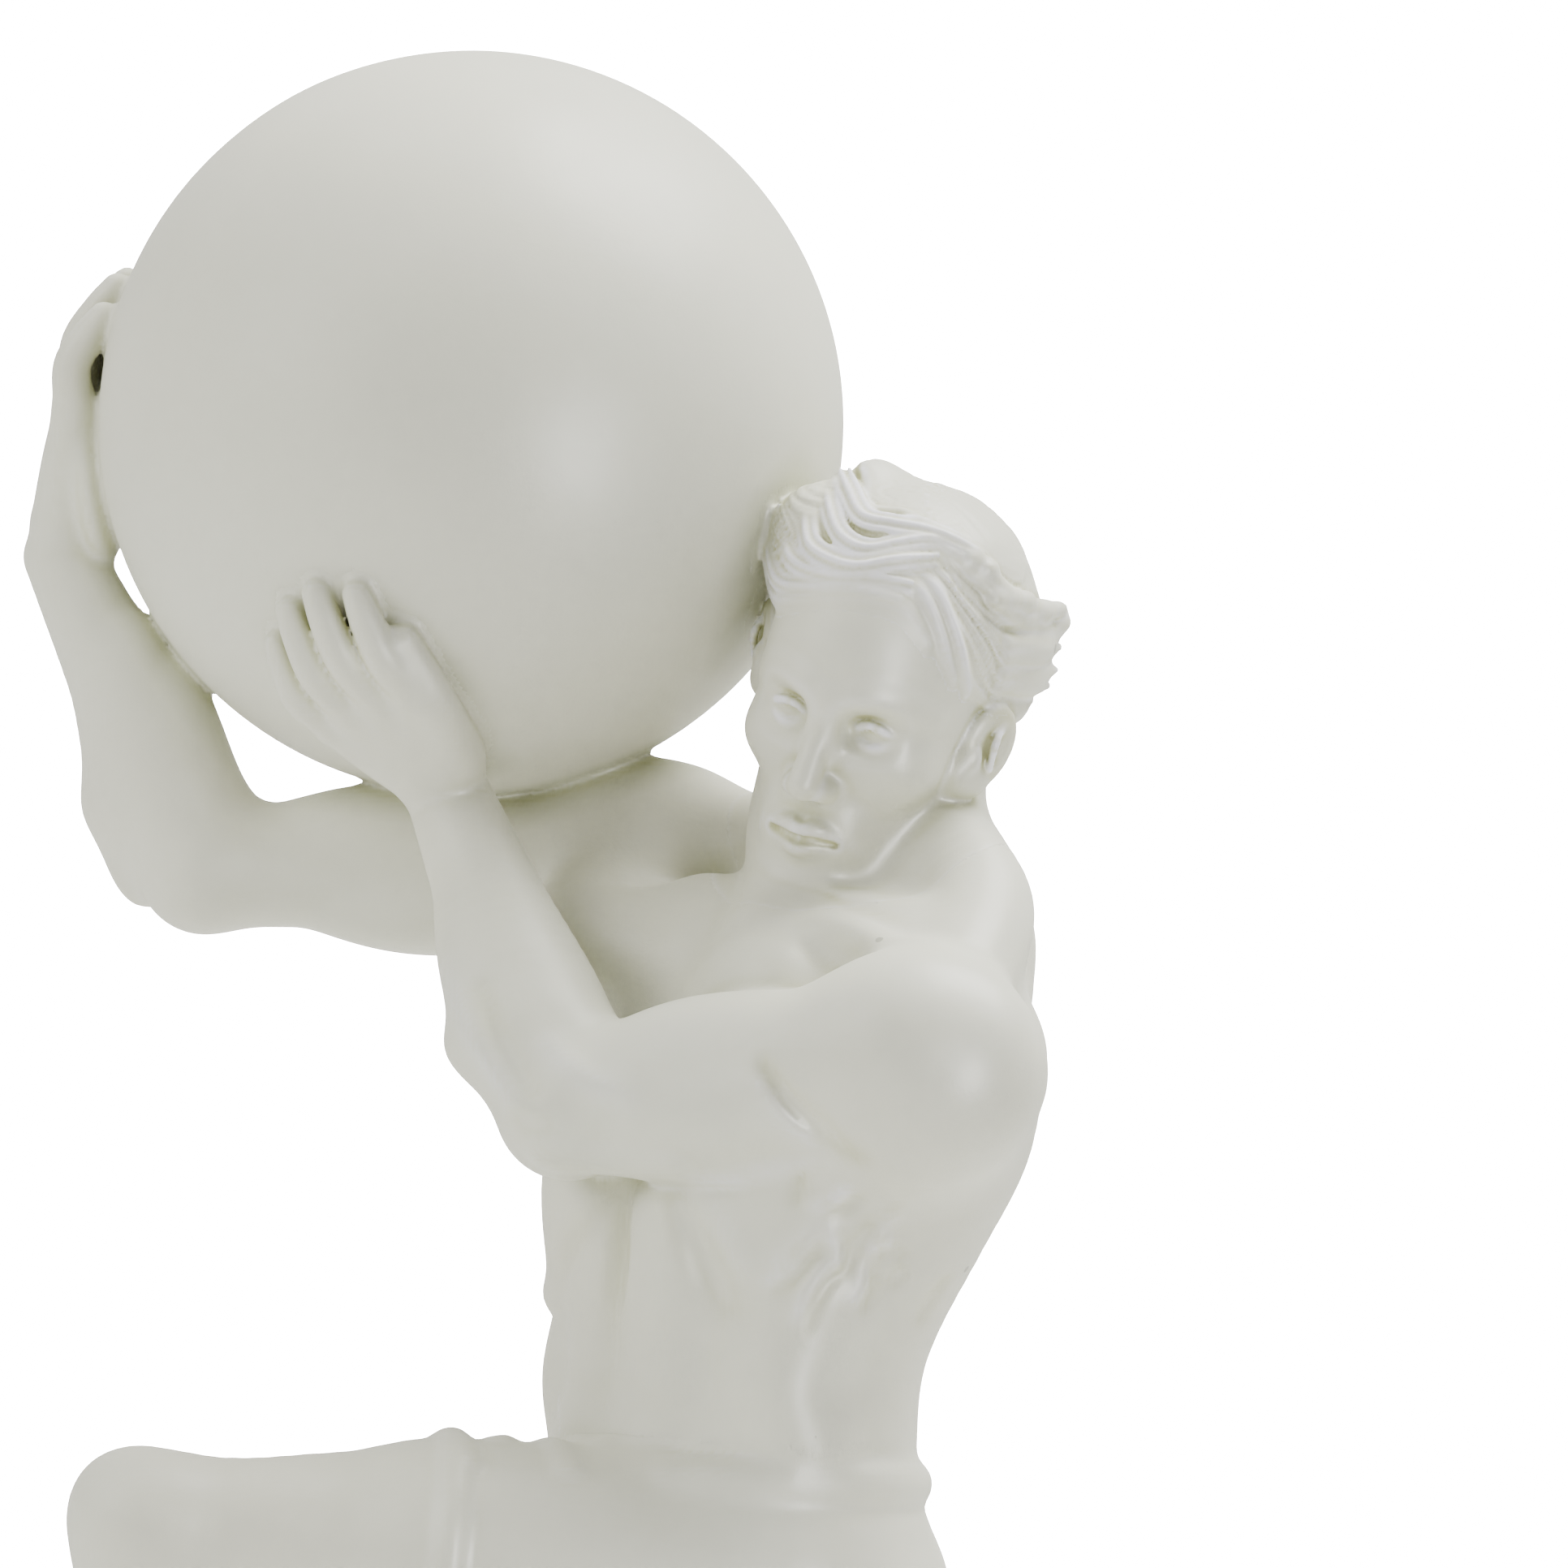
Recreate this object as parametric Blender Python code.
"""A statue of a kneeling man who carries a plain globe on his shoulder, cast in white ceramic.

Two objects: the figure with its globe, which is one hollow casting, and the low plinth under it.
The figure is drawn in millimetres at its real size, x to its left, y away from the front,
z up from the plinth's top, and then scaled to its stature.
"""
import math

import bmesh
import bpy
import numpy as np

# Driving sizes in metres
MAN_HEIGHT = 0.585  # what the man would measure standing up
GLOBE_RADIUS = 0.0828
PLINTH_MARGIN = 0.013  # plinth beyond the toes at each end
PLINTH_WIDTH = 0.180
PLINTH_HEIGHT = 0.030
PLINTH_CORNER = 0.016
PLINTH_STEP = 0.004  # how far the upper slab stands back
SOLE_GAP = 0.0003  # between the plinth's top and the soles

# How finely the casting is read and how many triangles it keeps
GRID_STEP = 2.6
CAST_TRIANGLES = 9200

MM = MAN_HEIGHT / 585
GLOBE_R = GLOBE_RADIUS / MM


REACH = 15.0  # how far from a lump its distance is still kept, in drawn millimetres
EMPTY = 50.0


def vec(*xyz):
    return np.array(xyz, float)


def unit(v):
    v = np.asarray(v, float)
    return v / np.linalg.norm(v)


def mix(a, b, t):
    return np.asarray(a, float) * (1 - t) + np.asarray(b, float) * t


def flowing(points, radii, count):
    """A smooth curve through points, with its radius, as count stations (Catmull-Rom)."""
    rows = np.column_stack([np.asarray(points, float), np.asarray(radii, float)])
    if len(rows) == 2:
        t = np.linspace(0, 1, count)[:, None]
        return rows[0] * (1 - t) + rows[1] * t
    rows = np.vstack([2 * rows[0] - rows[1], rows, 2 * rows[-1] - rows[-2]])
    spans = len(rows) - 3
    out = []
    for s in np.linspace(0, spans, count):
        i = min(int(s), spans - 1)
        t = s - i
        a, b, c, d = rows[i : i + 4]
        out.append(
            0.5 * (2 * b
                + (c - a) * t + (2 * a - 5 * b + 4 * c - d) * t**2 + (3 * b - a - 3 * c + d) * t**3)
        )
    return np.array(out)


def tube_distance(points, stations, flat=None):
    """Distance to a tube along smooth stations; flat is a way and how much thinner it is that way."""
    stations = np.asarray(stations).astype(points.dtype)

    def offset_from(middle):
        offset = points - middle
        if flat is not None:
            way, times = flat
            way = way.astype(points.dtype)
            offset += (offset @ way)[:, None] * way * (times - 1)
        return np.sqrt((offset**2).sum(1))

    best = np.full(len(points), 1e9, points.dtype)
    place = np.zeros(len(points), points.dtype)
    for n, (a, b) in enumerate(zip(stations[:-1], stations[1:])):
        along = b[:3] - a[:3]
        share = np.clip((points - a[:3]) @ along / max(float(along @ along), 1e-9), 0, 1)
        away = offset_from(a[:3] + share[:, None] * along) - (a[3] + (b[3] - a[3]) * share)
        closer = away < best
        best = np.where(closer, away, best)
        place = np.where(closer, n + share, place)
    # once more from the curve itself, which has no corners
    rows = np.vstack([2 * stations[0] - stations[1], stations, 2 * stations[-1] - stations[-2]])
    first = np.minimum(place.astype(int), len(stations) - 2)
    t = (place - first)[:, None]
    a, b, c, d = (rows[first + n] for n in range(4))
    curve = b + 0.5 * t * (c - a + t * (2 * a - 5 * b + 4 * c - d + t * (3 * b - a - 3 * c + d)))
    return offset_from(curve[:, :3]) - curve[:, 3]


def soft_min(a, b, blend):
    if blend <= 0:
        return np.minimum(a, b)
    h = np.maximum(blend - np.abs(a - b), 0) / blend
    return np.minimum(a, b) - h * h * blend / 4


def soft_max(a, b, blend):
    return -soft_min(-a, -b, blend)


class Clay:
    """Lumps pressed together one after another; its surface is where value() is zero."""

    def __init__(self):
        self.steps = []

    def _step(self, low, high, margin, change):
        self.steps.append((np.asarray(low) - margin, np.asarray(high) + margin, change))

    def add(self, low, high, distance, blend):
        self._step(low, high, REACH, lambda p, v: soft_min(v, distance(p), blend))

    def cut(self, low, high, distance, blend):
        self._step(low, high, blend + 1, lambda p, v: soft_max(v, -distance(p), blend))

    def limb(self, points, radii, blend=4.0, count=None, flat=None, cut=False):
        """A smooth round limb through points."""
        stations = flowing(points, radii, count or 7 * len(points) - 6)
        r = stations[:, 3].max()
        low, high = stations[:, :3].min(0) - r, stations[:, :3].max(0) + r
        (self.cut if cut else self.add)(low, high, lambda p: tube_distance(p, stations, flat), blend)

    def lump(self, centre, radii, axes=None, blend=4.0, cut=False):
        """An ellipsoid; axes are the directions of its three radii."""
        centre = np.asarray(centre, float)
        radii = np.asarray(radii, float)
        turn = np.eye(3) if axes is None else np.array([unit(a) for a in axes])
        half = np.sqrt(((turn * radii[:, None]) ** 2).sum(0))

        def distance(p):
            q = (p - centre.astype(p.dtype)) @ turn.T.astype(p.dtype)
            k0 = np.sqrt(((q / radii.astype(p.dtype)) ** 2).sum(1))
            k1 = np.sqrt(((q / (radii**2).astype(p.dtype)) ** 2).sum(1))
            return k0 * (k0 - 1) / np.maximum(k1, 1e-6)

        (self.cut if cut else self.add)(centre - half, centre + half, distance, blend)

    def stroke(self, points, width, height, count=None, ends=None):
        """A ridge, or with a negative height a groove, pressed along a smooth curve."""
        widths = np.full(len(points), float(width)) if np.isscalar(width) else np.asarray(width, float)
        stations = flowing(points, widths, count or 4 * len(points) - 3)
        n = len(stations)
        fade = np.sin(np.linspace(0, math.pi,
            n)) ** 0.5 if ends is None else np.asarray(ends(np.linspace(0, 1, n)))
        w = stations[:, 3].max()
        low, high = stations[:, :3].min(0) - 2.6 * w, stations[:, :3].max(0) + 2.6 * w

        def change(p, v):
            best = np.zeros(len(p), p.dtype)
            for (a, b), (fa, fb) in zip(zip(stations[:-1], stations[1:]), zip(fade[:-1], fade[1:])):
                along = (b[:3] - a[:3]).astype(p.dtype)
                offset = p - a[:3].astype(p.dtype)
                share = np.clip(offset @ along / max(float(along @ along), 1e-9), 0, 1)
                offset -= share[:, None] * along
                wide = a[3] + (b[3] - a[3]) * share
                press = (fa + (fb - fa) * share) * np.exp(-((offset**2).sum(1)) / wide**2)
                best = np.maximum(best, press)
            return v - height * best

        self.steps.append((low, high, change))

    def trunk(self, levels, blend=4.0):
        """A lofted body; each level gives height, centre, half width, half depth, front direction, tilt."""
        z = np.array([l["z"] for l in levels], float)
        cx, cy = np.array([l["c"] for l in levels], float).T
        wide = np.array([l["w"] for l in levels], float)
        deep = np.array([l["d"] for l in levels], float)
        turn = np.radians([l["turn"] for l in levels])
        tilt = np.array([math.tan(math.radians(l.get("tilt", 0))) for l in levels])
        low = vec((cx - wide - deep / 2).min(), (cy - wide).min(), z.min() - 14)
        high = vec((cx + wide + deep / 2).max(), (cy + wide).max(), z.max() + 14)

        def at(values, h):
            return smooth_rows(z, values, h)

        def distance(p):
            h = p[:, 2].astype(float)
            for _ in range(2):
                k = np.clip(h, z[0], z[-1])
                t = at(turn, k)
                side = (p[:, 0] - at(cx, k)) * -np.sin(t) + (p[:, 1] - at(cy, k)) * np.cos(t)
                h = p[:, 2] - at(tilt, k) * side
            over = np.maximum(z[0] - h, h - z[-1])
            h = np.clip(h, z[0], z[-1])
            t = at(turn, h)
            x, y = p[:, 0] - at(cx, h), p[:, 1] - at(cy, h)
            front = x * -np.cos(t) + y * -np.sin(t)
            side = x * -np.sin(t) + y * np.cos(t)
            a, b = at(wide, h), at(deep, h)
            k = (np.abs(side / a) ** 2.3 + np.abs(front / b) ** 2.3) ** (1 / 2.3)
            steep = np.sqrt((side / a**2) ** 2 + (front / b**2) ** 2)
            g = steep / np.maximum(np.sqrt((side / a) ** 2 + (front / b) ** 2), 1e-6)
            flat = (k - 1) / np.maximum(g, 1e-3)
            return np.hypot(np.maximum(flat, 0), np.maximum(over, 0)) + np.minimum(np.maximum(flat,
                over), 0)

        self.add(low, high, distance, blend)

    def value(self, points):
        points = np.asarray(points, np.float32)
        out = np.full(len(points), EMPTY, np.float32)
        least, most = points.min(0), points.max(0)
        for low, high, change in self.steps:
            if (least > high).any() or (most < low).any():
                continue
            near = np.flatnonzero(((points > low) & (points < high)).all(1))
            if len(near):
                out[near] = change(points[near], out[near])
        return out


def smooth_rows(z, values, h):
    """Values at heights h, read smoothly from rows at heights z (Catmull-Rom on uneven rows)."""
    i = np.clip(np.searchsorted(z, h) - 1, 0, len(z) - 2)
    slope = np.gradient(values, z)
    span = z[i + 1] - z[i]
    t = (h - z[i]) / span
    a, b = values[i], values[i + 1]
    ma, mb = slope[i] * span, slope[i + 1] * span
    ease = 3 * t**2 - 2 * t**3
    return (1 - ease) * a + ease * b + (t**3 - 2 * t**2 + t) * ma + (t**3 - t**2) * mb


def filled_grid(clay, low, high, step, block=8):
    """The clay's value on a grid, worked out only near its surface."""
    low = np.asarray(low, float)
    counts = np.ceil((np.asarray(high) - low) / (step * block)).astype(int)
    centres = np.stack(np.meshgrid(*[np.arange(n) for n in counts], indexing="ij"), -1).reshape(-1, 3)
    middle = low + (centres + 0.5) * block * step
    rough = clay.value(middle)
    reach = block * step * 0.87 * 1.6 + 2.0
    grid = np.empty(counts * block, np.float32)
    signs = np.where(rough > 0, EMPTY, -EMPTY).reshape(counts).astype(np.float32)
    grid[:] = np.repeat(np.repeat(np.repeat(signs, block, 0), block, 1), block, 2)
    live = np.flatnonzero(np.abs(rough) < reach)
    inner = np.stack(np.meshgrid(*[np.arange(block)] * 3, indexing="ij"), -1).reshape(-1, 3)
    room = centres[live] // 3
    room = (room[:, 0] * 1000 + room[:, 1]) * 1000 + room[:, 2]
    order = np.argsort(room, kind="stable")
    for some in np.split(live[order], np.flatnonzero(np.diff(room[order])) + 1):
        some = centres[some]
        cells = (some[:, None, :] * block + inner[None]).reshape(-1, 3)
        grid[cells[:, 0], cells[:, 1], cells[:, 2]] = clay.value(low + cells * step)
    return grid


def tetra_surface(grid, low, step):
    """Marching tetrahedra: a closed mesh with no doubtful cells."""
    nx, ny, nz = grid.shape
    inside = grid < 0
    count = np.zeros((nx - 1, ny - 1, nz - 1), np.uint8)
    for i in (0, 1):
        for j in (0, 1):
            for k in (0, 1):
                count += inside[i : nx - 1 + i, j : ny - 1 + j, k : nz - 1 + k]
    cells = np.stack(np.nonzero((count > 0) & (count < 8)), 1)
    keys = []
    for order in ((0, 1, 2), (1, 2, 0), (2, 0, 1), (0, 2, 1), (2, 1, 0), (1, 0, 2)):
        steps = np.zeros((4, 3), int)
        for n, axis in enumerate(order):
            steps[n + 1] = steps[n]
            steps[n + 1, axis] = 1
        code = np.zeros(len(cells), int)
        for n in range(4):
            p = cells + steps[n]
            code += inside[p[:, 0], p[:, 1], p[:, 2]].astype(int) << n
        for case in range(1, 15):
            which = np.flatnonzero(code == case)
            if not len(which):
                continue
            for tri in tetra_triangles(case, steps):
                corners = []
                for a, b in tri:
                    pa = cells[which] + steps[min(a, b)]
                    d = steps[max(a, b)] - steps[min(a, b)]
                    flat = (pa[:, 0] * ny + pa[:, 1]) * nz + pa[:, 2]
                    corners.append(flat * 8 + d[0] + 2 * d[1] + 4 * d[2])
                keys.append(np.stack(corners, 1))
    keys = np.vstack(keys)
    ids, faces = np.unique(keys.ravel(), return_inverse=True)
    flat, code = ids // 8, ids % 8
    pa = np.stack([flat // (ny * nz), flat // nz % ny, flat % nz], 1)
    d = np.stack([code & 1, code >> 1 & 1, code >> 2 & 1], 1)
    pb = pa + d
    va = grid[pa[:, 0], pa[:, 1], pa[:, 2]].astype(float)
    vb = grid[pb[:, 0], pb[:, 1], pb[:, 2]].astype(float)
    t = np.clip(va / (va - vb), 0.04, 0.96)
    return np.asarray(low) + (pa + d * t[:, None]) * step, faces.reshape(-1, 3)


def tetra_triangles(case, steps):
    """Triangles of one tetrahedron as edges, facing out of the clay."""
    ins = [n for n in range(4) if case >> n & 1]
    outs = [n for n in range(4) if not case >> n & 1]
    if len(ins) == 1:
        tris = [[(ins[0], o) for o in outs]]
    elif len(ins) == 3:
        tris = [[(i, outs[0]) for i in ins]]
    else:
        a, b = ins
        c, d = outs
        tris = [[(a, c), (a, d), (b, d)], [(a, c), (b, d), (b, c)]]
    done = []
    way = steps[outs].mean(0) - steps[ins].mean(0)
    for tri in tris:
        p = [(steps[i] + steps[j]) / 2 for i, j in tri]
        normal = np.cross(p[1] - p[0], p[2] - p[0])
        done.append(tri if normal @ way > 0 else tri[::-1])
    return done


GLOBE = vec(-29.7, 35, 417.6)
HEAD = 85.0
NEAR_SHOULDER = vec(66, -71, 280)
NEAR_ELBOW = vec(-7, -40, 266)
NEAR_WRIST = vec(-35, 0, 336)
FAR_SHOULDER = vec(13, 38, 320)
FAR_ELBOW = vec(-88, 42, 319)
FAR_WRIST = vec(-121, 48, 388)
NEAR_HIP = vec(38, -40, 156)
NEAR_KNEE = vec(-100, -52, 173)
NEAR_ANKLE = vec(-92, -50, 26)
FAR_HIP = vec(9, 8, 156)
FAR_KNEE = vec(-8, 12, 15)
FAR_ANKLE = vec(134, 20, 36)


def head_axes(yaw=24, pitch=13, roll=17):
    y, p, r = map(math.radians, (yaw, pitch, roll))
    front = vec(-math.sin(y) * math.cos(p), -math.cos(y) * math.cos(p), -math.sin(p))
    top = vec(-math.sin(y) * math.sin(p), -math.cos(y) * math.sin(p), math.cos(p))
    right = np.cross(front, top)
    up = top * math.cos(r) - right * math.sin(r)
    right = np.cross(front, up)
    return front, right, up


FRONT, RIGHT, UP = head_axes()
HEAD_AT = vec(63, -6, 360)


def on_head(f, r, u):
    """A point of the head in shares of its height: forward, to his right, up from the ear line."""
    return HEAD_AT + HEAD * (f * FRONT + r * RIGHT + u * UP)


def on_front(c, places, sink=0.0):
    """Points on the clay's front at places (x, z), as seen from -Y; sink moves them inwards."""
    depth = np.arange(-118.0, 80.0, 1.0)
    points = []
    for x, z in places:
        line = np.column_stack([np.full(len(depth), x), depth, np.full(len(depth), z)])
        value = c.value(line)
        hit = int(np.argmax(value < 0))
        share = value[hit - 1] / (value[hit - 1] - value[hit]) if hit else 0
        points.append(vec(x, depth[hit] - 1 + share + sink, z))
    return points


def trunk(c):
    c.trunk(
        [
            dict(z=138, c=(22, -15), w=42, d=35, turn=28),
            dict(z=165, c=(24, -16), w=49, d=38, turn=31),
            dict(z=188, c=(28, -17), w=47, d=35, turn=34, tilt=1),
            dict(z=208, c=(31.5, -18), w=46, d=32, turn=35, tilt=3),
            dict(z=240, c=(37.5, -18), w=53, d=37.5, turn=34, tilt=7),
            dict(z=268, c=(48, -18), w=55, d=38, turn=31, tilt=12),
            dict(z=292, c=(55, -16), w=50, d=34, turn=29, tilt=16),
            dict(z=316, c=(61, -13), w=27, d=18, turn=28, tilt=16),
        ]
    )


def body_point(z, front, side):
    """A point of the trunk at height z, so far to its front and to its far side."""
    rows = [(138, 22, -15, 28), (165, 24, -16, 31), (188, 27, -17, 34), (208, 30, -18, 35),
        (240, 37, -18, 34),
            (268, 48, -18, 31), (292, 55, -16, 29), (314, 61, -14, 28)]
    z_, x_, y_, t_ = np.array(rows, float).T
    x, y, t = np.interp(z, z_, x_), np.interp(z, z_, y_), math.radians(np.interp(z, z_, t_))
    tilt = math.tan(math.radians(np.interp(z, (200, 290), (2, 16))))
    return vec(x - front * math.cos(t) - side * math.sin(t),
        y - front * math.sin(t) + side * math.cos(t), z + side * tilt)


def chest(c):
    bp = body_point
    # latissimus, near and far
    c.limb([bp(288, -14, -36), bp(262, -11, -39), bp(225, -8, -35)], [11, 14, 9], 10)
    c.limb([bp(285, -16, 38), bp(255, -12, 40), bp(222, -8, 36)], [13, 14, 9], 10)
    # shoulder blades and spinal columns of muscle
    c.lump(bp(283, -18, -23), (11, 17, 20), (bp(0, 1, 0) - bp(0, 0, 0), bp(0, 0, 1) - bp(0, 0, 0),
        (0, 0, 1)), 10)
    c.lump(bp(283, -18, 24), (11, 17, 20), (bp(0, 1, 0) - bp(0, 0, 0), bp(0, 0, 1) - bp(0, 0, 0),
        (0, 0, 1)), 10)
    for side in (-11, 11):
        c.limb([bp(285, -25, side), bp(240, -29, side), bp(195, -26, side)], [9, 8.5, 9], 7)
    # breast muscles
    axes = (bp(0, 1, 0) - bp(0, 0, 0), bp(0, 0, 1) - bp(0, 0, 0), (0, 0, 1))
    c.lump(bp(290, 24, -4), (14, 20, 18), axes, 6)
    c.lump(bp(290, 19, 30), (13, 24, 19), axes, 8)
    # collar bone
    c.limb([vec(36, -28, 303), vec(51, -42, 305), vec(67, -58, 298)], [4.2, 3.2, 3.2], 7)
    # trapezius
    c.limb([on_head(-0.2, -0.03, -0.3), vec(73, -10, 328), vec(83, -30, 310),
        NEAR_SHOULDER + (12, 15, 11)], [9, 9.5, 12, 11], 9)
    c.limb([on_head(-0.2, 0.05, -0.3), vec(52, 14, 322), FAR_SHOULDER + (8, -4, 6)], [9, 12, 11], 9)
    c.limb([vec(79, -8, 313), vec(82, -6, 298), vec(76, -6, 265)], [12.5, 13.5, 10], 10)
    # the hollow behind the collar bone, filled
    c.limb([vec(56, -30, 300), vec(66, -38, 297), vec(74, -46, 292)], [11, 11.5, 11], 9)


def belly(c):
    bp = body_point
    out, over = bp(0, 1, 0) - bp(0, 0, 0), bp(0, 0, 1) - bp(0, 0, 0)
    for side in (-1, 1):
        # the straight muscle of the belly, in blocks
        for z, reach, tall in ((240, 33, 14), (221, 30, 12), (204, 26.5, 12), (180, 28, 18)):
            c.lump(bp(z, reach, side * 10.5), (7.5, 11, tall), (out, over, (0, 0, 1)), 9)
        # oblique over the hip
        c.limb([bp(226, 12, side * 39), bp(206, 14, side * 38), bp(192, 8, side * 41)], [9, 10, 9], 9)
        # edge of the rib cage
        if side > 0:
            # teeth of the serratus, and the ribs that carry the far breast
            for n in range(4):
                z = 258 - 10 * n
                c.limb([bp(z + 5, 4 + 3 * n, 47 - n), bp(z - 7, 20 + 2.5 * n, 40 - 1.5 * n)], [4.6, 2.6],
                    5)
            c.limb([bp(266, 26, 30), bp(250, 30, 30), bp(234, 27.5, 28.5), bp(216, 21, 26)],
                [11, 12, 9, 5], 12)
            c.stroke([bp(247, 42, 3), bp(237, 39, 15), bp(222, 31, 28)], 4.5, -1.2)
    c.stroke([bp(262, 40, 0), bp(235, 38, 0), bp(195, 35, 0)], 3.6, -1.1)
    # on the near side: the arch of the ribs, the ridge beside it and the flat band towards the back
    c.stroke(on_front(c, [(12, 258), (17, 244), (24, 231), (31, 219)]), 4.2, -1.5)
    c.stroke(on_front(c, [(20, 254), (26, 240), (33, 228)]), 4.0, 1.2)
    c.stroke(on_front(c, [(36, 231), (46, 238), (52, 247)]), 2.6, 1.1)
    for n in range(7):
        x, z = 42 + 4.6 * n - 1.5 * (n % 2), 250 - 4.4 * n + 9 * (n % 3)
        lean = 4 + 2.5 * math.sin(2.4 * n)
        c.stroke(on_front(c, [(x, z - 5), (x + 0.4 * lean, z), (x + lean, z + 5.5)]), 1.9,
            1.0 if n % 3 else -1.1)


def arm(c, shoulder, elbow, wrist, out, scale=1.0):
    """An arm; out is the way its bent elbow's outer side faces."""
    s = scale
    along = unit(elbow - shoulder)
    fore = unit(wrist - elbow)
    bend = unit(fore - along * (fore @ along))  # where the biceps sits
    upper = [16.5 * s, 15.2 * s, 14 * s, 13.5 * s]
    c.limb([shoulder, mix(shoulder, elbow, 0.35), mix(shoulder, elbow, 0.75), elbow], upper, 5)
    c.lump(mix(shoulder, elbow, 0.6) + bend * 6.6 * s, (26 * s, 11.5 * s, 12.5 * s),
        (along, bend, np.cross(along, bend)), 5)
    c.lump(mix(shoulder, elbow, 0.48) - bend * 9 * s, (30 * s, 11.5 * s, 13.5 * s),
        (along, bend, np.cross(along, bend)), 5)
    c.lump(elbow - bend * 2 + along * 2, (11 * s, 10 * s, 11 * s), None, 5)
    c.lump(mix(elbow, wrist, 0.2) + out * 6 * s, (16 * s, 10 * s, 10 * s), None, 6)
    side = np.cross(fore, out)
    c.limb(
        [elbow + fore * 2, mix(elbow, wrist, 0.28), mix(elbow, wrist, 0.62), wrist],
        [14 * s, 15 * s, 11.5 * s, 8.6 * s],
        7,
    )
    c.lump(mix(elbow, wrist, 0.33) + out * 6.2 * s, (29 * s, 11.5 * s, 10.5 * s), (fore, out, side), 6)
    c.lump(mix(elbow, wrist, 0.26) - side * 4 * s, (24 * s, 10 * s, 11 * s), (fore, out, side), 5)


def shoulders(c):
    c.lump(NEAR_SHOULDER + (2, 3, -6), (27, 22, 27.5), ((1, 0.15, -0.25), (0, 1, 0), (0.25, 0, 1)), 8)
    c.limb([NEAR_SHOULDER + (12, 4, -6), vec(76, -55, 262), body_point(242, -4, -36)], [16.5, 13, 8], 12)
    c.lump(FAR_SHOULDER + (-5, -1, 4), (25, 19, 19.5), None, 8)
    c.limb([FAR_SHOULDER + (-8, -8, -8), vec(-2, 12, 302), body_point(287, 24, 30)], [15, 15, 14], 9)


def arm_folds(c):
    """The groove under the shoulder muscle, and the long ridge beside it, seen from his left."""
    c.stroke(on_front(c, [(34, 277), (41, 268), (50, 260.5), (60, 253.5)]), 2.4, -1.0)
    c.stroke(on_front(c, [(30, 273), (38, 263.5), (47, 256), (57, 250)]), 4.2, 0.9)
    c.stroke(on_front(c, [(-3, 252.5), (14, 250.5), (32, 252), (48, 253)]), 3.0, 1.2)
    # forearm: two long muscles and the fold over the elbow
    c.stroke(on_front(c, [(-36, 300), (-30, 284), (-20, 268), (-8, 259)]), 3.6, 1.4)
    c.stroke(on_front(c, [(-28, 296), (-22, 280), (-14, 266)]), 3.2, -1.5)
    c.stroke(on_front(c, [(-14, 282), (-4, 272), (8, 267)]), 3.4, 1.3)
    c.stroke(on_front(c, [(-20, 265), (-16, 262), (-12, 262)]), 2.6, -1.2)


def hand(c, centre, radius, palm, fingers, thumb_side, wrist, scale=1.0):
    """A hand laid on the globe; palm is where it lies, fingers the way they point."""
    n = unit(palm)
    a = unit(fingers - n * (fingers @ n))
    b = np.cross(n, a)
    if b @ thumb_side < 0:
        b = -b

    def at(x, y, lift):
        return centre + (radius + lift * scale) * unit(n + (b * x + a * y) * scale / radius)

    tips = {"little": (-17, 34), "ring": (-8.5, 43), "middle": (1, 46), "index": (11, 42)}
    knuckles = {"little": (-11.5, 11), "ring": (-4.5, 14), "middle": (3, 15), "index": (10.5, 13)}
    for name, (x, y) in tips.items():
        kx, ky = knuckles[name]
        r = 4.1 if name != "little" else 3.6
        k = at(kx, ky, 5.5)
        c.limb([mix(wrist, k, 0.25), mix(wrist, k, 0.6), k], [6.4 * scale, 6.2 * scale, 5.2 * scale], 4)
        c.limb(
            [k, at(mix(kx, x, 0.45), mix(ky, y, 0.42), 7.0), at(mix(kx, x, 0.75), mix(ky, y, 0.74), 4.6),
                at(x, y, 2.4)],
            [4.8 * scale, 4.3 * scale, 3.9 * scale, 3.2 * scale],
            1.6,
        )
    root = mix(wrist, at(8, -4, 4), 0.75)
    c.limb([mix(wrist, root, 0.3), root, at(13, 9, 5.5), at(15, 26, 3.2)],
        [7 * scale, 6.8 * scale, 4.9 * scale, 3.9 * scale], 2.5)


def neck(c):
    c.limb([vec(67, -8, 302), vec(69, -6, 318), on_head(-0.14, 0, -0.3), on_head(-0.12, 0, -0.1)],
        [20, 18, 17.5, 17], 7)
    pit = body_point(303, 27, 0)
    for side, thick in ((-1, 0.8), (1, 1)):
        ear = on_head(-0.05, side * 0.225, -0.1)
        c.limb([pit + (side * -2, side * 3, 0), mix(pit, ear, 0.5) + (4, 2, 0), ear],
            [3.6 * thick, 5 * thick, 4], 7)
    # windpipe
    c.limb([pit + (2, 2, 3), on_head(0.12, 0, -0.4)], [6, 7], 6)


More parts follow.
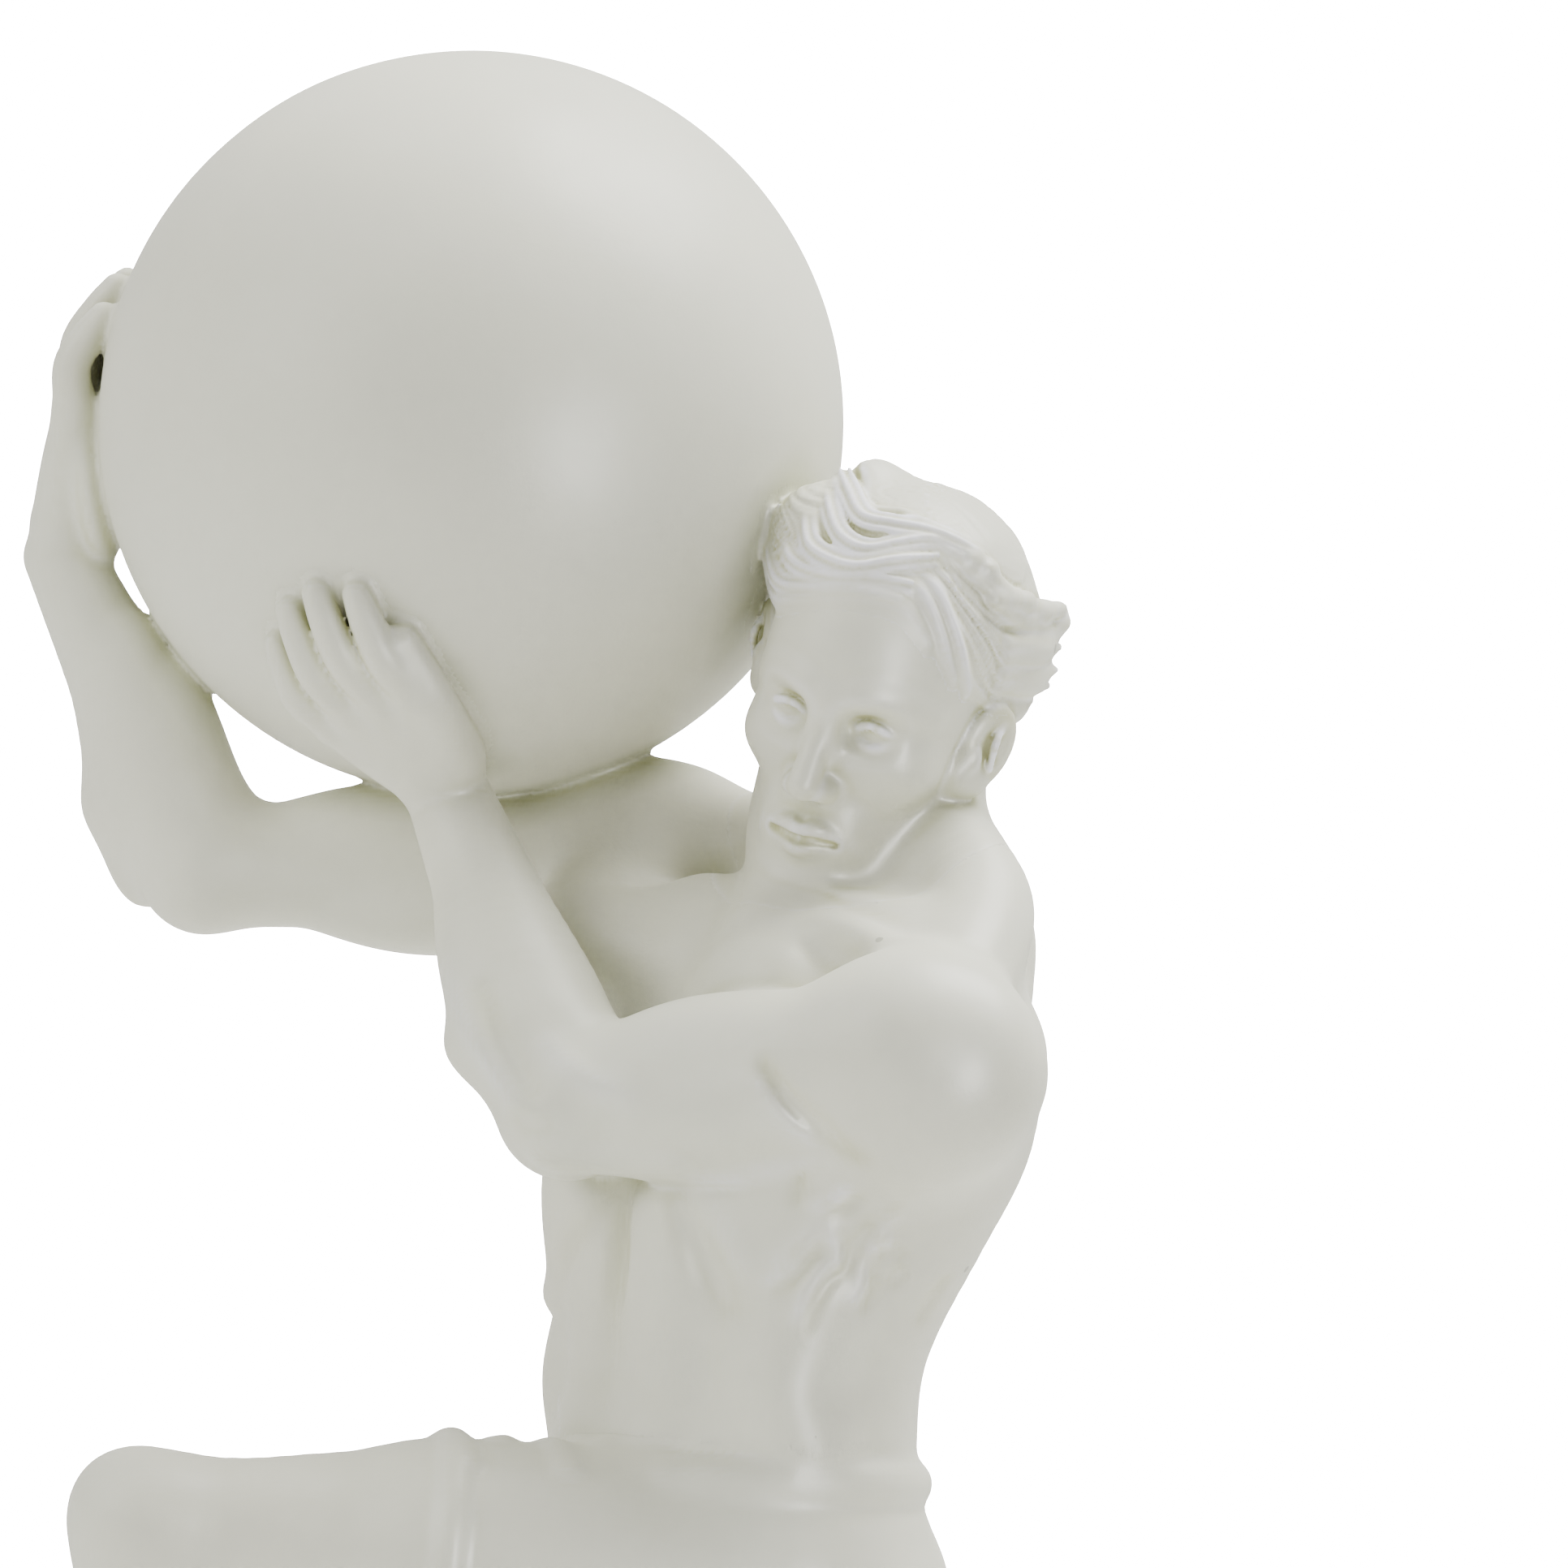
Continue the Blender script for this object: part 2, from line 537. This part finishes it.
def head(c):
    h = HEAD
    axes = (FRONT, RIGHT, UP)
    c.lump(on_head(0.025, 0, 0.12), (0.40 * h, 0.30 * h, 0.36 * h), axes, 4)
    c.lump(on_head(0.17, 0, -0.04), (0.265 * h, 0.265 * h, 0.36 * h), axes, 6)
    # jaw and chin
    for s in (-1, 1):
        c.limb([on_head(0.0, s * 0.225, -0.2), on_head(0.15, s * 0.17, -0.42),
            on_head(0.325, s * 0.05, -0.525)], [0.07 * h, 0.08 * h, 0.075 * h], 8)
    c.lump(on_head(0.19, 0, -0.34), (0.2 * h, 0.185 * h, 0.19 * h), axes, 8)
    c.lump(on_head(0.365, 0, -0.51), (0.06 * h, 0.08 * h, 0.06 * h), axes, 5)
    # cheek bones
    for s in (-1, 1):
        c.lump(on_head(0.26, s * 0.175, -0.12), (0.1 * h, 0.085 * h, 0.075 * h), axes, 6)
    # brow
    for s in (-1, 1):
        c.limb([on_head(0.405, s * 0.02, 0.05), on_head(0.39, s * 0.09, 0.075),
            on_head(0.335, s * 0.165, 0.07), on_head(0.26, s * 0.215, 0.035)],
               [0.036 * h, 0.04 * h, 0.036 * h, 0.03 * h], 4)
    # eye sockets, balls and lids
    for s in (-1, 1):
        c.lump(on_head(0.41, s * 0.118, -0.015), (0.05 * h, 0.08 * h, 0.045 * h), axes, 5, cut=True)
        c.lump(on_head(0.3, s * 0.118, -0.018), (0.078 * h, 0.078 * h, 0.068 * h), axes, 1.5)
    # nose
    c.limb([on_head(0.395, 0, 0.045), on_head(0.445, 0, -0.07), on_head(0.49, 0, -0.17)],
        [0.034 * h, 0.036 * h, 0.042 * h], 4)
    for s in (-1, 1):
        c.lump(on_head(0.435, s * 0.047, -0.188), (0.05 * h, 0.03 * h, 0.03 * h), axes, 3)
    # mouth
    c.lump(on_head(0.355, 0, -0.325), (0.075 * h, 0.13 * h, 0.11 * h), axes, 6)
    for s in (-1, 1):
        c.limb([on_head(0.445, 0, -0.302), on_head(0.435, s * 0.045, -0.3),
            on_head(0.395, s * 0.09, -0.322)], [0.024 * h, 0.024 * h, 0.012 * h], 2)
    c.limb([on_head(0.39, 0.08, -0.334), on_head(0.437, 0, -0.352), on_head(0.39, -0.08, -0.334)],
        [0.013 * h, 0.03 * h, 0.013 * h], 2)
    # ears
    for s, f, u in ((-1, 0.075, -0.07), (1, 0.07, 0.03)):
        lean = (unit(FRONT + 0.3 * UP), unit(RIGHT + s * 0.5 * FRONT), unit(UP - 0.3 * FRONT))
        c.lump(on_head(f, s * 0.325, u), (0.075 * h, 0.032 * h, 0.12 * h), lean, 1.5)
        c.lump(on_head(f + 0.012, s * 0.362, u + 0.012), (0.036 * h, 0.025 * h, 0.068 * h), lean, 1.5,
            cut=True)
        c.lump(on_head(f + 0.06, s * 0.31, u - 0.02), (0.02 * h, 0.024 * h, 0.032 * h), lean, 1.5)
        c.lump(on_head(f + 0.03, s * 0.315, u - 0.095), (0.032 * h, 0.024 * h, 0.032 * h), lean, 2)


def on_cap(turn, rise, lift=0.0):
    """A point of the hair's surface: turn from the front to his left, rise above the temples, in degrees."""
    t, p = math.radians(turn), math.radians(rise)
    way = vec(math.cos(p) * math.cos(t), -math.cos(p) * math.sin(t), math.sin(p))
    f, r, u = way * vec(0.40, 0.325, 0.36) + way * lift / HEAD
    return on_head(f - 0.03, r, u + 0.16)


# Lines that the hair follows round the head: the turn of each column, then each line's rise there.
TURNS = (-180, -120, -90, -60, -30, 0, 20, 32, 45, 60, 75, 90, 105, 120, 180)
HAIRLINE = (-60, -54, -6, 12, 24, 31, 32, 25, 6, -14, -27, -32, -40, -50, -60)
LOW_LOCKS = (-42, -36, 4, 19, 28, 36, 39, 36, 22, 4, -10, -18, -26, -32, -42)
MID_LOCKS = (-18, -12, 18, 27, 31, 40, 45, 45, 36, 20, 6, -5, -11, -16, -18)
HIGH_LOCKS = (12, 14, 34, 35, 37, 46, 51, 51, 46, 35, 21, 9, 1, -3, 12)
ROLL = (40, 44, 54, 57, 60, 65, 62, 58, 53, 47, 30, 21, 15, 9, 40)


# The front locks, swept down from the parting and then across to the roll: the thickness of each,
# then its places as turn, rise and stand over the cap.
FRONT_LOCKS = (
    (2.9, (-91, 51, 4.5), (-60, 57, 1.5), (-24, 55, 0.8), (0, 57, 0.8), (24, 58, 0.6), (46, 54, 0.8),
        (60, 49, 0.4)),
    (2.7, (-86, 46, 3.5), (-56, 48, 1.2), (-26, 44, 0.7), (-6, 44, 0.4), (14, 51, 0.4), (34, 54, 0.3),
        (54, 49, 0)),
    (3.0, (-82, 41, 4.5), (-62, 38, 1.6), (-42, 34, 0.6), (-24, 34, 0.4), (-6, 36, 0.3), (14, 43, 0.2),
        (36, 47, -0.4)),
    (2.7, (-80, 35, 6), (-68, 27, 2.2), (-46, 25, 0.4), (-18, 29, 0), (2, 34, -0.2), (24, 35, -0.6)),
    (2.6, (-77, 27, 7.5), (-73, 17, 3.5), (-52, 14, 0), (-24, 22, -0.6), (0, 28, -0.6), (20, 28, -1)),
    (2.0, (-75, 18, 5.5), (-72, 6, 1), (-48, 8, -0.6), (-26, 16, -0.8), (0, 24, -0.8), (22, 24, -0.8),
        (36, 12, -1)),
    (1.5, (18, 36, -0.4), (30, 32, -0.2), (38, 22, 0), (44, 10, 0), (50, -2, -0.4)),
    (1.5, (26, 40, -0.4), (38, 33, 0), (46, 20, 0.2), (52, 8, 0.2), (59, -8, -0.2)),
)


def cap_place(p):
    """Turn and rise of points on the hair's cap, in degrees, and their distance from it."""
    q = (p - HEAD_AT.astype(p.dtype)) @ np.array([FRONT, RIGHT, UP]).T.astype(p.dtype) / HEAD
    way = (q - np.array([-0.03, 0, 0.16], p.dtype)) / np.array([0.40, 0.325, 0.36], p.dtype)
    far = np.maximum(np.sqrt((way**2).sum(1)), 1e-6)
    steep = np.sqrt(((way / np.array([0.40, 0.325, 0.36], p.dtype)) ** 2).sum(1)) / HEAD
    turn = np.degrees(np.arctan2(-way[:, 1], way[:, 0]))
    rise = np.degrees(np.arcsin(np.clip(way[:, 2] / far, -1, 1)))
    return turn, rise, far * (far - 1) / np.maximum(steep, 1e-6)


def step_up(value, low, high):
    k = np.clip((value - low) / (high - low), 0, 1)
    return k * k * (3 - 2 * k)


def bulge(turn, rise, at_turn, at_rise, wide, tall):
    away = (turn - at_turn + 180) % 360 - 180
    return np.exp(-((away / wide) ** 2) - ((rise - at_rise) / tall) ** 2)


def locks(x, round_by=0.75):
    """Rounded locks side by side, one for each whole number, with sharp creases between them."""
    which = np.floor(x)
    full = 0.72 + 0.28 * np.sin(which * 2.4 + 1.0)
    return full * np.abs(np.sin(np.pi * x)) ** round_by


def hair_height(turn, rise):
    """How high the hair stands over the cap, in drawn millimetres."""
    lines = [np.interp(turn, TURNS, line) for line in (HAIRLINE, LOW_LOCKS, MID_LOCKS, HIGH_LOCKS, ROLL)]
    level = np.full(len(turn), -1.0)
    for n in range(4):
        level = np.where(rise > lines[n], n + (rise - lines[n]) / (lines[n + 1] - lines[n]), level)
    level = np.where(rise <= lines[0], (rise - lines[0]) / 8, np.minimum(level, 6))
    behind = step_up(np.abs(turn + 8), 112, 138)
    # the big forms
    form = 0.6 + 8.6 * bulge(turn, rise, -82, 32, 26, 20) + 5.6 * bulge(turn, rise, -104, 60, 30, 11)
    form += 4.2 * bulge(turn, rise, 113, -9, 20, 20) + 1.4 * bulge(turn, rise, 30, 48, 70, 12)
    # locks along the lines in front and at the sides, and down the head behind
    swing = 0.42 * np.sin(0.055 * turn + 1.9 * level) + 0.2 * np.sin(0.13 * turn - 2.3 * level + 1)
    across = 1.55 * level + swing
    down = turn / 14 + 0.5 * np.sin(0.10 * rise + 0.05 * turn) + 0.2 * np.sin(0.23 * rise + 1)
    below = 1 - step_up(level, 3.9, 4.5)
    front = step_up(turn, -120, -85) * (1 - step_up(turn, 30, 52))
    deep = below * (1.0 - 0.85 * front + 0.7 * behind) + 0.35 * (1 - below)
    height = form + deep * ((1 - behind) * locks(across) + behind * locks(down)) - 0.6 * deep
    edge = step_up(level, -0.45, 0.5)
    return height * edge - 2.6 * (1 - edge)


def swelling(count, most):
    """Radii that grow from thin to most and end in a point."""
    share = np.linspace(0, 1, count)
    return (1.2 + (most - 1.2) * share) * np.sqrt(1 - 0.9 * np.maximum(share - 0.8, 0) / 0.2)


def roll_points(shift, first, last, count, lift):
    """Points along the roll that parts the crown from the side hair."""
    points = []
    for turn in np.linspace(first, last, count):
        stand = lift + 5.5 * float(step_up(turn, 88, 122))
        points.append(on_cap(turn, float(np.interp(turn, TURNS, ROLL)) + shift, stand))
    return points


def hair(c):
    low, high = vec(5, -70, 300), vec(130, 70, 430)

    nape = Clay()
    nape.lump(on_head(-0.13, 0, -0.1), (0.235 * HEAD, 0.235 * HEAD, 0.3 * HEAD), (FRONT, RIGHT, UP), 1)

    def mass(p):
        turn, rise, far = cap_place(p)
        return soft_min(far, nape.value(p), 8) - hair_height(turn, rise)

    c.add(low, high, mass, 1.5)
    # the deep crease beside the parting
    c.limb([on_cap(-92, 54, 7), on_cap(-66, 58, 3.5), on_cap(-42, 60, 1)], [2.0, 2.3, 0.9], 1.5, count=9,
        cut=True)
    for thick, *places in FRONT_LOCKS:
        slim = [thick * (0.8 if n in (0, len(places) - 1) else 1) for n in range(len(places))]
        c.limb([on_cap(*place) for place in places], slim, 1.3, count=25)
    # the roll in two strands, and crumbs of clay along its end
    c.limb(roll_points(1, -40, 122, 19, 1.0), swelling(19, 2.9), 1.6, count=37)
    c.limb(roll_points(-6, 0, 119, 13, 0.6), swelling(13, 2.3), 1.6, count=25)
    for n, centre in enumerate(roll_points(-1, 60, 114, 9, 1.9)):
        side = 1.6 * math.sin(2.1 * n)
        size = 1.5 + 0.5 * math.sin(3.3 * n)
        c.lump(centre + UP * side - FRONT * 0.7 * side, (size, size + 1.1, size), (RIGHT, FRONT, UP), 2.2)
    # tips of the side locks, standing off behind the ear
    for n in range(6):
        rise, stand = 4 - 6.5 * n, (5.4, 6.4, 6.8, 6.6, 4.6, 2.4)[n]
        tip = on_cap(118 - 2.2 * n + 3 * (n % 2), rise, stand)
        root = [on_cap(78, rise + 5, 0.6), on_cap(100 - n, rise + 3 * (n % 2), 2.2)]
        c.limb(root + [tip], [1.4, 2.9, 0.8], 2.4, count=13)


def ring(centre, along, first, radius, start, end, drift, count):
    """Points round a limb from one angle to another, drifting along it."""
    second = np.cross(along, first)
    points = []
    for a in np.linspace(math.radians(start), math.radians(end), count):
        k = (a - math.radians(start)) / math.radians(end - start)
        points.append(centre + along * drift * k + (first * math.cos(a) + second * math.sin(a)) * radius)
    return points


def waist_ring(z, out, start, end, drop, count=9):
    """Points round the hips, starting and ending at angles from his front towards his far side."""
    points = []
    for n, a in enumerate(np.radians(np.linspace(start, end, count))):
        k = n / (count - 1)
        points.append(body_point(z - drop * math.sin(math.pi * k), (35 + out) * math.cos(a),
            (45 + out) * math.sin(a)))
    return points


def cloth(c):
    c.trunk(
        [
            dict(z=142, c=(20, -15), w=46, d=42, turn=28),
            dict(z=160, c=(22, -16), w=53, d=43, turn=31),
            dict(z=180, c=(25, -17), w=50, d=39, turn=33),
            dict(z=188, c=(27, -17), w=47, d=36, turn=34),
        ],
        3,
    )
    # the rolled edge, in two turns that cross at the near hip
    for z, drop, phase in ((186, 4, 0), (181, -3, 90), (176, 3, 40)):
        c.limb(waist_ring(z, 3, -70 + phase, 290 + phase, drop, 15), [4.2] * 15, 2.5, count=48)
    # the skirt over each thigh, with folds that fall from the hip
    for hip, knee, reach, turned in ((NEAR_HIP, NEAR_KNEE, 0.54, 1), (FAR_HIP, FAR_KNEE, 0.5, -1)):
        along = unit(knee - hip)
        first = unit(np.cross(along, np.cross(vec(0, 0, 1) if abs(along[2]) < 0.7 else vec(-1, 0, 0),
            along)))
        c.limb([hip, mix(hip, knee, reach * 0.55), mix(hip, knee, reach)], [31, 30, 27.5], 6)
        for n in range(6):
            middle = mix(hip, knee, reach * (0.22 + 0.15 * n))
            points = ring(middle, along, first, 29.5 - 0.5 * n, -35, 200, 20 * turned, 9)
            c.limb(points if n % 2 else points[1:], [2.6] * (9 - (n + 1) % 2), 3.5)
        hem = ring(mix(hip, knee, reach), along, first, 26.5, 0, 360, 0, 13)
        c.limb(hem, [3.4] * 13, 3, count=40)


def leg(c, hip, knee, ankle, front, shin_front, scale=1.0):
    """A leg; front is the way the thigh's front faces, shin_front the shin's."""
    s = scale
    thigh, shin = unit(knee - hip), unit(ankle - knee)
    front = unit(front - thigh * (front @ thigh))
    cap = unit(shin_front - shin * (shin_front @ shin))
    side, across = np.cross(thigh, front), np.cross(shin, cap)
    c.limb([hip, mix(hip, knee, 0.35), mix(hip, knee, 0.75), knee], [28 * s, 26 * s, 20 * s, 16 * s], 8)
    c.lump(mix(hip, knee, 0.55) + front * 8, (42 * s, 15 * s, 17 * s), (thigh, front, side), 6)
    c.lump(mix(hip, knee, 0.8) + front * 5 + side * 9, (17 * s, 10 * s, 9 * s), (thigh, front, side), 5)
    c.lump(mix(hip, knee, 0.78) + front * 5 - side * 9, (17 * s, 10 * s, 9 * s), (thigh, front, side), 5)
    c.lump(mix(hip, knee, 0.5) - front * 9, (42 * s, 14 * s, 17 * s), (thigh, front, side), 7)
    c.lump(knee + unit(front + cap) * 9, (9.5 * s, 9.5 * s, 9.5 * s), None, 6)
    c.limb([knee, mix(knee, ankle, 0.3), mix(knee, ankle, 0.7), ankle],
        [16 * s, 17 * s, 12.5 * s, 9.5 * s], 8)
    c.lump(mix(knee, ankle, 0.31) - cap * 8 + across * 6, (34 * s, 13.5 * s, 12 * s),
        (shin, cap, across), 6)
    c.lump(mix(knee, ankle, 0.28) - cap * 8 - across * 6, (30 * s, 13.5 * s, 12 * s),
        (shin, cap, across), 6)


def near_foot(c):
    a = NEAR_ANKLE
    heel, ball, tip = vec(-74, -50, 9), vec(-130, -54, 9), vec(-152, -55, 6)
    c.limb([a, heel], [10, 10.5], 8)
    c.limb([a + (-4, 0, -4), vec(-106, -52, 19), ball], [11, 11.5, 9], 8)
    c.limb([heel, vec(-100, -56, 9), vec(-128, -60, 8)], [9.5, 9, 8.5], 7)
    c.limb([vec(-100, -52, 14), vec(-128, -49, 10)], [10, 9], 7)
    toes = [(-47.5, -158, 6.2), (-54.5, -157, 4.7), (-60.5, -153, 4.4), (-66, -148, 4.2),
        (-70.5, -142, 4)]
    for y, x, r in toes:
        root = vec(x + 26, y * 0.7 - 55 * 0.3, 8.5)
        c.limb([root, vec(x + 11, y, 9), vec(x + r, y, r * 0.95)], [r + 1.5, r + 0.2, r], 2)


def far_foot(c):
    a = FAR_ANKLE
    c.limb([a, vec(152, 21, 50)], [10, 11], 7)
    c.limb([vec(150, 21, 54), vec(152, 22, 30), vec(148, 22, 12)], [10.5, 10.5, 9], 7)
    c.limb([a + (2, 0, -3), vec(140, 22, 22), vec(142, 22, 12)], [10, 11, 9], 7)
    for n, r in enumerate((6, 4.7, 4.4, 4.2, 4)):
        y = 12 + 5.6 * n + (0 if n else -1.5)
        c.limb([vec(147, mix(22, y, 0.8), 11), vec(134, y, 8), vec(124 + n, y, r)], [r + 2, r + 0.4, r],
            2)


def glutes(c):
    bp = body_point
    c.lump(bp(158, -22, -20), (24, 25, 26), None, 8)
    c.lump(bp(155, -20, 20), (24, 25, 26), None, 8)


def globe(c):
    c.lump(GLOBE, (GLOBE_R,) * 3, None, 2.5)


def figure():
    c = Clay()
    trunk(c)
    chest(c)
    belly(c)
    glutes(c)
    leg(c, NEAR_HIP, NEAR_KNEE, NEAR_ANKLE, vec(0, 0, 1), vec(-1, 0, 0))
    leg(c, FAR_HIP, FAR_KNEE, FAR_ANKLE, vec(-1, 0, 0), vec(0, 0, -1))
    near_foot(c)
    far_foot(c)
    neck(c)
    shoulders(c)
    arm(c, NEAR_SHOULDER, NEAR_ELBOW, NEAR_WRIST, unit(vec(-0.8, -0.5, 0)), 1.07)
    arm(c, FAR_SHOULDER, FAR_ELBOW, FAR_WRIST, unit(vec(-0.8, 0.5, 0)), 1.0)
    globe(c)
    arm_folds(c)
    hand(c, GLOBE, GLOBE_R, vec(-0.15, -0.56, -0.81), vec(-0.3, -0.2, 0.6), vec(1, 0, 0.5), NEAR_WRIST)
    hand(c, GLOBE, GLOBE_R, vec(-0.97, 0.16, -0.12), vec(0.1, 0.1, 1), vec(0, 1, 0), FAR_WRIST)
    head(c)
    hair(c)
    cloth(c)
    flat = SOLE_GAP / MM
    c.steps.append((vec(-400, -400, -30), vec(400, 400, 14), lambda p, v: np.maximum(v, flat - p[:, 2])))
    return c


def colour(name, rgb, roughness):
    material = bpy.data.materials.new(name)
    material.use_nodes = True
    shader = material.node_tree.nodes["Principled BSDF"]
    shader.inputs["Base Color"].default_value = (*rgb, 1)
    shader.inputs["Roughness"].default_value = roughness
    material.diffuse_color = (*rgb, 1)
    return material


def build_object(name, verts, faces, material):
    mesh = bpy.data.meshes.new(name)
    mesh.from_pydata([tuple(v) for v in verts], [], [tuple(int(i) for i in f) for f in faces])
    mesh.update()
    mesh.materials.append(material)
    thing = bpy.data.objects.new(name, mesh)
    bpy.context.scene.collection.objects.link(thing)
    return thing


def casting():
    """The figure and the globe as one closed faceted body, in metres."""
    low, high = (-185, -112, -6), (182, GLOBE[1] + GLOBE_R + 8, GLOBE[2] + GLOBE_R + 8)
    grid = filled_grid(figure(), low, high, GRID_STEP)
    return tetra_surface(grid, low, GRID_STEP)


def thin_out(thing, triangles):
    """Fewer triangles, most where the form turns most."""
    change = thing.modifiers.new("fewer", "DECIMATE")
    change.ratio = triangles / len(thing.data.polygons)
    change.use_collapse_triangulate = True
    graph = bpy.context.evaluated_depsgraph_get()
    mesh = bpy.data.meshes.new_from_object(thing.evaluated_get(graph))
    thing.modifiers.remove(change)
    thing.data = mesh


def tidy(thing):
    """Only the largest closed body stays, welded and facing out."""
    net = bmesh.new()
    net.from_mesh(thing.data)
    bmesh.ops.remove_doubles(net, verts=net.verts, dist=0.00002)
    seen, bodies = set(), []
    for start in net.verts:
        if start in seen:
            continue
        body, queue = [], [start]
        seen.add(start)
        while queue:
            v = queue.pop()
            body.append(v)
            for edge in v.link_edges:
                other = edge.other_vert(v)
                if other not in seen:
                    seen.add(other)
                    queue.append(other)
        bodies.append(body)
    bodies.sort(key=len)
    for body in bodies[:-1]:
        bmesh.ops.delete(net, geom=body, context="VERTS")
    bmesh.ops.recalc_face_normals(net, faces=net.faces)
    net.to_mesh(thing.data)
    net.free()


def rounded_loop(half_length, half_width, radius, z, steps=7):
    loop = []
    for cx, cy, start in ((1, 1, 0), (-1, 1, 90), (-1, -1, 180), (1, -1, 270)):
        for n in range(steps + 1):
            a = math.radians(start + 90 * n / steps)
            loop.append((cx * (half_length - radius) + radius * math.cos(a),
                cy * (half_width - radius) + radius * math.sin(a), z))
    return loop


def plinth(middle, length, material):
    """A low block with a stepped and softened edge, flat above and below."""
    soft = 0.3 * PLINTH_STEP
    waist = 0.55 * PLINTH_HEIGHT
    profile = [
        (soft, 0),
        (0, soft),
        (0, waist - PLINTH_STEP - soft),
        (soft, waist - PLINTH_STEP),
        (0.45 * PLINTH_STEP, waist - 0.8 * PLINTH_STEP),
        (0.8 * PLINTH_STEP, waist - 0.45 * PLINTH_STEP),
        (PLINTH_STEP, waist),
        (PLINTH_STEP, PLINTH_HEIGHT - soft),
        (PLINTH_STEP + soft, PLINTH_HEIGHT),
    ]
    verts, faces = [], []
    for inset, z in profile:
        verts += rounded_loop(length / 2 - inset, PLINTH_WIDTH / 2 - inset, PLINTH_CORNER - inset / 2, z)
    n = len(verts) // len(profile)
    verts = [(x + middle[0], y + middle[1], z) for x, y, z in verts]
    faces.append(list(range(n))[::-1])
    for row in range(len(profile) - 1):
        for i in range(n):
            j = (i + 1) % n
            faces.append([row * n + i, row * n + j, (row + 1) * n + j, (row + 1) * n + i])
    faces.append([(len(profile) - 1) * n + i for i in range(n)])
    return build_object("plinth", verts, faces, material)


def main():
    for thing in list(bpy.data.objects):
        bpy.data.objects.remove(thing)
    glaze = colour("white_ceramic", (0.78, 0.78, 0.73), 0.42)
    stone = colour("plinth_ceramic", (0.76, 0.76, 0.71), 0.45)
    verts, faces = casting()
    verts = verts * MM
    toes = verts[verts[:, 2] < 25 * MM]
    low, high = toes[:, 0].min(), toes[:, 0].max()
    verts[:, 2] += PLINTH_HEIGHT
    statue = build_object("atlas_with_globe", verts, faces, glaze)
    thin_out(statue, CAST_TRIANGLES)
    tidy(statue)
    for v in statue.data.vertices:
        v.co.z = max(v.co.z, PLINTH_HEIGHT + SOLE_GAP)
    base = plinth(((low + high) / 2, -6 * MM), high - low + 2 * PLINTH_MARGIN, stone)
    # the whole part stands centred over the origin
    points = [v.co for thing in (statue, base) for v in thing.data.vertices]
    x = (min(p.x for p in points) + max(p.x for p in points)) / 2
    y = (min(p.y for p in points) + max(p.y for p in points)) / 2
    for thing in (statue, base):
        for v in thing.data.vertices:
            v.co.x -= x
            v.co.y -= y
        thing.data.update()


main()
